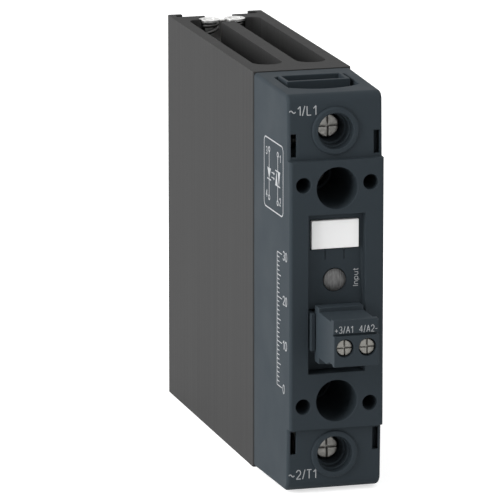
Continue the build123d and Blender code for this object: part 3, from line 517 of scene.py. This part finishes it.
def finish_of(node_name):
    """The node's finish: its slot's, or for a screw a turned one centred on the screw's own box."""
    slot_name = slot_of[node_name]
    if slot_name in finishes:
        return finishes[slot_name]
    middle = sum((Vector(corner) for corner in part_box(node_name)), Vector()) / 2
    colour, roughness = screw_finishes[slot_name]
    return turned_metal("turned_" + node_name, colour, roughness, middle)


for node_name, node in frame["nodes"].items():
    finish = finish_of(node_name)
    for slot in node.material_slots:
        slot.material = finish
print(len(finishes), "finishes for", len(frame["nodes"]), "nodes")


# %% [markdown]
# ## Softened edges
#
# No real edge is perfectly sharp: mouldings come out of the tool with a small radius and sawn or
# stamped metal is deburred. That sliver of rounding is what catches a thread of light along an
# edge. The CAD shapes stay as they are; each one is copied, its loose triangles are merged back
# into whole faces, and a Bevel modifier rounds the edges that stick out. The modifier takes
# its width from a weight on each edge, so an edge with little room beside it gets a smaller radius
# and nothing overlaps.

# %% Room beside an edge
sharp_angle = math.radians(30)      # a sharper fold is an edge, and a gentler one part of a curve
nearly_straight = math.radians(179.5)
edge_share = 0.4                    # of an edge that leads away
curve_share = 0.6                   # of a curve's radius


def turn_at(corner, edge, other):
    """The angle between two edges at a shared corner: half a turn where one continues the other."""
    along = edge.other_vert(corner).co - corner.co
    return along.angle(other.other_vert(corner).co - corner.co, 0.0)


def room_beside(edge):
    """How far a bevel may eat into the two faces: a share of their other edges and curves."""
    room = 1.0
    for loop in edge.link_loops:
        before, after = loop.link_loop_prev, loop.link_loop_next
        for other, corner in ((before.edge, loop.vert), (after.edge, after.vert)):
            turn = turn_at(corner, edge, other)
            if turn < math.pi - sharp_angle:
                room = min(room, edge_share * other.calc_length() * math.sin(turn))
            elif turn < nearly_straight:
                room = min(room, curve_share * edge.calc_length() / (math.pi - turn))
    return room


def runs(edges):
    """Groups of edges that run on into each other, so that a whole rim can share one width."""
    waiting = set(edges)
    while waiting:
        run = [waiting.pop()]
        for edge in run:
            for corner in edge.verts:
                for other in waiting.intersection(corner.link_edges):
                    if turn_at(corner, edge, other) > math.pi - sharp_angle:
                        waiting.remove(other)
                        run.append(other)
        yield run


# %% Copies with rounded edges
merge_distance = 0.001 * MM
flat_angle = math.radians(1)        # triangles that meet at less are one face
least_share = 0.2                   # of the width; an edge with less room stays sharp


def softened(node_name, width):
    """A copy of a node merged into whole faces, smooth on its curves, its outer edges rounded."""
    node = frame["nodes"][node_name]
    mesh = node.data.copy()
    work = bmesh.new()
    work.from_mesh(mesh)
    bmesh.ops.remove_doubles(work, verts=work.verts, dist=merge_distance)
    bmesh.ops.dissolve_limit(work, angle_limit=flat_angle, verts=work.verts, edges=work.edges)
    bmesh.ops.connect_verts_concave(work, faces=work.faces)
    weight = work.edges.layers.float.new("bevel_weight_edge")
    for edge in work.edges:
        edge.smooth = edge.calc_face_angle(0.0) < sharp_angle
    for face in work.faces:
        face.smooth = True
    outer = [edge for edge in work.edges if edge.calc_face_angle_signed(0.0) > sharp_angle]
    for run in runs(outer):
        share = min(1.0, min(room_beside(edge) for edge in run) / width)
        for edge in run:
            edge[weight] = share if share > least_share else 0.0
    work.to_mesh(mesh)
    work.free()
    piece = bpy.data.objects.new(node_name + "_finished", mesh)
    bpy.context.scene.collection.objects.link(piece)
    rounding = piece.modifiers.new("rounding", "BEVEL")
    rounding.limit_method = "WEIGHT"
    rounding.use_clamp_overlap = False
    rounding.width = width
    rounding.segments = 2
    rounding.loop_slide = False
    shading = piece.modifiers.new("flat_faces_stay_flat", "WEIGHTED_NORMAL")
    shading.keep_sharp = True
    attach(piece, node["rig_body"])
    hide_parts(node_name)
    return piece


usual_edge_width = 0.06
edge_widths = {     # in millimetres, where the edge is rounder than usual
    "heat_sink": 0.16, "front_housing": 0.15, "upper_wire_guide": 0.15, "lower_wire_guide": 0.15,
    "plug_body": 0.12, "header_housing": 0.12, "marking_tag": 0.12, "latch_slider": 0.12,
    "clamp_bar": 0.15, "clip_plate": 0.12, "upper_terminal_cage": 0.15, "lower_terminal_cage": 0.15,
}
finished = []
for node_name in frame["nodes"]:
    if node_name != "latch_springs":
        finished.append(softened(node_name, edge_widths.get(node_name, usual_edge_width) * MM))
print(len(finished), "nodes copied with rounded edges")

# %% [markdown]
# ## Latch springs
#
# Two compression springs stand in the ports between the rear flanges and push the latch down. A
# real one has closed ends: its first and last turns lie against each other so that it stands
# square, and the pitch opens between them. The wire is a circle carried along a helix. On a helix
# the direction away from the axis is always square to the path, so it serves as one axis of the
# circle and no twisting frame is needed.

# %% Rings joined into a closed solid
def tube(rings, closed=False):
    """Quads between neighbouring rings of equally many points, and a flat face on each end ring.

    If closed, the last ring is joined to the first instead. It returns the points and the faces.
    """
    count, sides = rings.shape[:2]
    number = np.arange(count * sides).reshape(count, sides)
    here = number if closed else number[:-1]
    there = np.roll(number, -1, 0)[:len(here)]
    walls = np.stack([here, np.roll(here, -1, 1), np.roll(there, -1, 1), there], axis=-1)
    ends = [] if closed else [number[0, ::-1].tolist(), number[-1].tolist()]
    return rings.reshape(-1, 3), walls.reshape(-1, 4).tolist() + ends


def piece_of(name, parts, finish, body, smooth_angle):
    """One object from several solids, its faces turned outwards, riding on a body."""
    starts = np.cumsum([0] + [len(points) for points, own_faces in parts[:-1]])
    faces = [[int(start) + corner for corner in face]
             for start, (points, own_faces) in zip(starts, parts) for face in own_faces]
    mesh = bpy.data.meshes.new(name)
    mesh.from_pydata(np.vstack([points for points, own_faces in parts]).tolist(), [], faces)
    shape = bmesh.new()
    shape.from_mesh(mesh)
    bmesh.ops.recalc_face_normals(shape, faces=shape.faces)
    shape.to_mesh(mesh)
    shape.free()
    mesh.shade_smooth()
    mesh.set_sharp_from_angle(angle=smooth_angle)
    mesh.materials.append(finish)
    piece = bpy.data.objects.new(name, mesh)
    bpy.context.scene.collection.objects.link(piece)
    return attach(piece, body)


# %% Two coil springs
spring_low, spring_high = (np.array(corner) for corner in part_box("latch_springs"))
spring_length = spring_high[2] - spring_low[2]
wire_radius = 0.45 * MM
coil_radius = (spring_high[1] - spring_low[1]) / 2 - wire_radius
turns = 9
closed_turn = 0.6           # of a turn lies closed at each end
closed_rise = 0.2           # its rise, where a free turn's is 1 more


def coil_spring(axis_x, steps_per_turn=32, wire_sides=14):
    """Circles of wire round each point of a helix about an upright axis.

    The helix rises by a small share at its ends, where the turns close, and evenly between them.
    A circle's point is the helix point, plus the wire radius times the cosine of its angle along
    the outward direction, plus the sine along the direction square to that and to the helix.
    """
    turn = np.linspace(0, turns, steps_per_turn * turns + 1)
    from_end = np.clip(np.minimum(turn, turns - turn) - closed_turn, 0, 1)
    rise = np.cumsum(closed_rise + from_end * from_end * (3 - 2 * from_end))
    rise = (rise - rise[0]) / (rise[-1] - rise[0])
    angle = 2 * np.pi * turn
    outwards = np.stack([np.cos(angle), np.sin(angle), 0 * angle], axis=1)
    seat = np.array([axis_x, (spring_low[1] + spring_high[1]) / 2, spring_low[2] + wire_radius])
    path = seat + coil_radius * outwards
    path[:, 2] += rise * (spring_length - 2 * wire_radius)
    along = np.gradient(path, axis=0)
    sideways = np.cross(along / np.linalg.norm(along, axis=1, keepdims=True), outwards)
    around = np.linspace(0, 2 * np.pi, wire_sides, endpoint=False)[None, :, None]
    rim = np.cos(around) * outwards[:, None] + np.sin(around) * sideways[:, None]
    return tube(path[:, None] + wire_radius * rim)


spring_places = (spring_low[0] + coil_radius + wire_radius,
                 spring_high[0] - coil_radius - wire_radius)
springs = piece_of("latch_springs_finished", [coil_spring(place) for place in spring_places],
                   finishes["spring_steel"], "module", sharp_angle)
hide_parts("latch_springs")
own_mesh(springs)

# %% [markdown]
# ## Printed marks
#
# Moulded cases carry their marks as pad printing: a film of pale ink a few hundredths of a
# millimetre thick. Only general marks are drawn here: the standard terminal designations, the word
# beside the indicator, a wiring diagram and a scale for the length of wire to strip. They could be
# painted through an image, but real outlines stay sharp at any distance. Every stroke is a ribbon,
# a small rectangle carried along a flat path, and the signs are drawn with such strokes, as an
# engraver's alphabet is. A ray finds the moulded face below each mark, so the print lies flat on
# it.

# %% Strokes and filled shapes, in millimetres
from mathutils.bvhtree import BVHTree

ink_top, ink_foot = 0.02, -0.03     # in front of the moulded face and sunk into it
stroke = 0.27                       # width of a printed line


def raised(outline):
    """A filled shape: its outline's points at the ink's foot and top, as the rings of a solid."""
    levels = (ink_foot, ink_top)
    return tube(np.array([[(across, up, level) for across, up in outline] for level in levels]))


def ribbon(points, width=stroke, closed=False):
    """A flat line: a small rectangle's corners, half the width to each side of every path point.

    The side direction is the direction between the neighbouring path points, turned a quarter turn.
    """
    points = np.array(points, float)
    if closed:
        along = np.roll(points, -1, 0) - np.roll(points, 1, 0)
    else:
        along = np.gradient(points, axis=0)
    along /= np.linalg.norm(along, axis=1, keepdims=True)
    aside = np.stack([-along[:, 1], along[:, 0]], axis=1) * width / 2
    corners = ((1, ink_foot), (-1, ink_foot), (-1, ink_top), (1, ink_top))
    edges = [np.column_stack([points + side * aside, np.full(len(points), level)])
             for side, level in corners]
    return tube(np.stack(edges, axis=1), closed)


def circle(middle, radius, corners=24):
    """Points at equal angles round a middle, at the radius from it."""
    angle = np.linspace(0, 2 * np.pi, corners, endpoint=False)
    return np.array(middle) + radius * np.stack([np.cos(angle), np.sin(angle)], axis=1)


def rounded_frame(half_width, half_height, radius, steps=7):
    """A quarter circle in each corner: the four circles' middles plus the radius at each angle."""
    angle = np.linspace(0, 2 * np.pi, 4 * steps, endpoint=False) + np.pi / 4 / steps
    angle = angle.reshape(4, steps)
    signs = np.array([(1, 1), (-1, 1), (-1, -1), (1, -1)])[:, None]
    middles = signs * (half_width - radius, half_height - radius)
    return (middles + radius * np.stack([np.cos(angle), np.sin(angle)], axis=-1)).reshape(-1, 2)


def arc(middle, radii, start, end, steps=14):
    """Points on an ellipse: its middle plus the two radii times the cosine and sine, in degrees."""
    angle = np.radians(np.linspace(start, end, steps))
    return np.array(middle) + np.array(radii) * np.stack([np.cos(angle), np.sin(angle)], axis=1)


# %% A stroke alphabet, and writing with it
sweep = np.linspace(0, 1, 15)
letters = {     # each sign's width and its strokes; a capital is 1 high
    "~": (0.72, [np.stack([0.72 * sweep, 0.42 + 0.13 * np.sin(2 * np.pi * sweep)], axis=1)]),
    "+": (0.5, [[(0, 0.4), (0.5, 0.4)], [(0.25, 0.15), (0.25, 0.65)]]),
    "-": (0.34, [[(0, 0.4), (0.34, 0.4)]]),
    "/": (0.3, [[(0, -0.04), (0.3, 1.04)]]),
    "0": (0.56, [arc((0.28, 0.5), (0.28, 0.5), 0, 360, 25)]),
    "1": (0.3, [[(0.02, 0.72), (0.3, 1)], [(0.3, 1), (0.3, 0)]]),
    "2": (0.58, [arc((0.29, 0.7), (0.27, 0.3), 170, -38), [(0.5, 0.52), (0.02, 0)],
                 [(0.02, 0), (0.58, 0)]]),
    "3": (0.56, [arc((0.27, 0.75), (0.25, 0.25), 155, -90),
                 arc((0.27, 0.25), (0.29, 0.25), 90, -155)]),
    "4": (0.6, [[(0.45, 0), (0.45, 1)], [(0.45, 1), (0, 0.3)], [(0, 0.3), (0.6, 0.3)]]),
    "A": (0.64, [[(0, 0), (0.32, 1)], [(0.32, 1), (0.64, 0)], [(0.12, 0.34), (0.52, 0.34)]]),
    "I": (0.02, [[(0.01, 0), (0.01, 1)]]),
    "L": (0.48, [[(0, 1), (0, 0)], [(0, 0), (0.48, 0)]]),
    "T": (0.6, [[(0, 1), (0.6, 1)], [(0.3, 1), (0.3, 0)]]),
    "n": (0.44, [[(0, 0), (0, 0.7)], arc((0.22, 0.42), (0.22, 0.28), 180, 0),
                 [(0.44, 0.42), (0.44, 0)]]),
    "p": (0.48, [[(0, -0.28), (0, 0.7)], arc((0.24, 0.35), (0.24, 0.35), 180, -180, 25)]),
    "t": (0.3, [[(0.12, 0.95), (0.12, 0.15)], arc((0.27, 0.15), (0.15, 0.15), 180, 275),
                [(0, 0.7), (0.3, 0.7)]]),
    "u": (0.44, [[(0, 0.7), (0, 0.28)], arc((0.22, 0.28), (0.22, 0.28), 180, 360),
                 [(0.44, 0.7), (0.44, 0)]]),
}
letter_gap = 0.25


def writing(text, left, right, foot, top, width=stroke, upright=True):
    """Strokes of a text that fills a rectangle; if not upright, it reads from foot to top."""
    starts = np.cumsum([0] + [letters[sign][0] + letter_gap for sign in text])
    drawn = []
    for start, sign in zip(starts, text):
        for path in letters[sign][1]:
            along, height = (np.array(path) + (start, 0)).T
            along = along / (starts[-1] - letter_gap)
            across, up = (along, height) if upright else (1 - height, along)
            fitted = np.stack([left + (right - left) * across, foot + (top - foot) * up], axis=1)
            drawn.append(ribbon(fitted, width))
    return drawn


# %% Lay a drawing on a moulded face
printing_ink = moulded_plastic("printing_ink", (0.36, 0.37, 0.38), roughness=0.6, drift=0.1)
hair = np.array([0, 0, 0.0008])     # millimetres


def printed(name, drawing, node_name, body, start, toward):
    """Puts a flat drawing, in millimetres, on the face that a ray meets, square to it and upright.

    A point goes to the meeting point, plus its first number along the face's right, its second
    along the face's up, and its third along the normal. Each stroke is a hair higher than the last,
    so that no two crossing strokes share a plane.
    """
    mesh = frame["nodes"][node_name].data
    surface = BVHTree.FromPolygons([vertex.co for vertex in mesh.vertices],
                                   [polygon.vertices for polygon in mesh.polygons])
    meeting, normal = surface.ray_cast(Vector(start), Vector(toward))[:2]
    up = (Vector((0, 0, 1)) - normal * normal.z).normalized()
    axes = np.array([up.cross(normal), up, normal]) * MM
    placed = [((points + hair * order) @ axes + np.array(meeting), faces)
              for order, (points, faces) in enumerate(drawing)]
    mark = piece_of(name, placed, printing_ink, body, sharp_angle)


# %% Terminal designations and the word beside the indicator
terminal_line, word_line, plug_line = 0.21, 0.15, 0.14      # stroke widths
plug_foot, plug_top = -0.72, 0.72
sight = 20 * MM                     # rays start this far outside
front_marks = (                     # name, drawing, node, body, and the place across and up
    ("upper_terminal_mark", writing("~1/L1", -3.0, 3.0, -1, 1, terminal_line),
     "front_housing", "module", -7.36, 40.95),
    ("lower_terminal_mark", writing("~2/T1", -3.05, 3.1, -1, 1, terminal_line),
     "front_housing", "module", -7.3, -40.5),
    ("indicator_mark", writing("Input", -0.72, 0.4, -1.95, 1.95, word_line, upright=False),
     "front_housing", "module", 4.95, 3.3),
    ("plug_mark", writing("+3/A1", -4.7, -0.75, plug_foot, plug_top, plug_line)
     + writing("4/A2-", 0.8, 4.8, plug_foot, plug_top, plug_line),
     "plug_body", "control_plug", 0, -4.4),
)
for name, drawing, node_name, body, across, up in front_marks:
    printed(name, drawing, node_name, body, (across * MM, low[1] - sight, up * MM), (0, 1, 0))

# %% Wiring diagram on the left side: control diode at left, two switching triangles at right
control, load = -3.3, 3.1           # places of the two columns
control_gap, load_gap = 1.3, 1.6    # half of the room that a column leaves for its sign
wire_end, ring_place, ring_radius = 4.9, 5.4, 0.5
diagram = [ribbon(rounded_frame(half_width=7.1, half_height=7.8, radius=1.3), closed=True)]
for column, gap in ((control, control_gap), (load, load_gap)):
    for sign in (-1, 1):
        diagram += [ribbon([(column, sign * wire_end), (column, sign * gap)]),
                    ribbon(circle((column, sign * ring_place), ring_radius), closed=True)]

diode_half, diode_top, diode_tip = 1.3, 1.25, -1.15
diode_bar, diode_bar_half = -1.3, 1.4
load_bar, load_bar_half = 1.6, 1.8
inner, middle, outer, tip = 0.1, 0.9, 1.7, 1.5      # the switching triangles' corners
diagram += [raised([(control - diode_half, diode_top), (control, diode_tip),
                    (control + diode_half, diode_top)]),
            ribbon([(control - diode_bar_half, diode_bar), (control + diode_bar_half, diode_bar)]),
            ribbon([(load - load_bar_half, load_bar), (load + load_bar_half, load_bar)]),
            ribbon([(load - load_bar_half, -load_bar), (load + load_bar_half, -load_bar)]),
            raised([(load - outer, -tip), (load - inner, -tip), (load - middle, tip)]),
            raised([(load + inner, tip), (load + middle, -tip), (load + outer, tip)])]

shaft_start, shaft_end, head_start, head_end, head_half = -1.5, 0.2, 0.1, 0.8, 0.4
thin = 0.2                          # width of the finer lines here and on the scale
for height in (-0.5, 0.6):          # two arrows: light goes from the diode to the switch
    diagram += [ribbon([(shaft_start, height), (shaft_end, height)], thin),
                raised([(head_start, height - head_half), (head_end, height),
                        (head_start, height + head_half)])]

number_height, number_stretch, number_line = 1.6, 1.5, 0.22
for number, left, foot in (("3", -5.6, 4), ("4", -5.6, -5.6), ("1", 4.7, 4), ("2", 4.5, -5.6)):
    right = left + number_stretch * letters[number][0]
    diagram += writing(number, left, right, foot, foot + number_height, number_line)

diagram_ahead, diagram_up = 15.15 * MM, 24.6 * MM   # from the seam and above the middle
printed("wiring_diagram", diagram, "front_housing", "module",
        (low[0] - sight, sink_low.y - diagram_ahead, diagram_up), (1, 0, 0))

# %% Scale for the length of wire to strip, in millimetres
scale_length = 30
spine, tick_start = -4.2, -4.1
scale = [ribbon([(spine, -scale_length / 2), (spine, scale_length / 2)])]
for tick in range(scale_length + 1):
    reach = 3.6 if tick % 10 == 0 else 2.7 if tick % 5 == 0 else 1.7
    level = tick - scale_length / 2
    scale.append(ribbon([(tick_start, level), (spine + reach, level)], thin))

digits_left, one_digit_right, two_digits_right = 0.2, 1.4, 3.1
digit_half, digit_line = 0.95, 0.24
for number in range(0, scale_length + 1, 10):
    level = number - scale_length / 2
    right = two_digits_right if number else one_digit_right
    scale += writing(str(number), digits_left, right, level - digit_half, level + digit_half,
                     digit_line)

scale_ahead, scale_up = 22.1 * MM, -6.6 * MM
printed("strip_scale", scale, "front_housing", "module",
        (low[0] - sight, sink_low.y - scale_ahead, scale_up), (1, 0, 0))
print("marks printed")
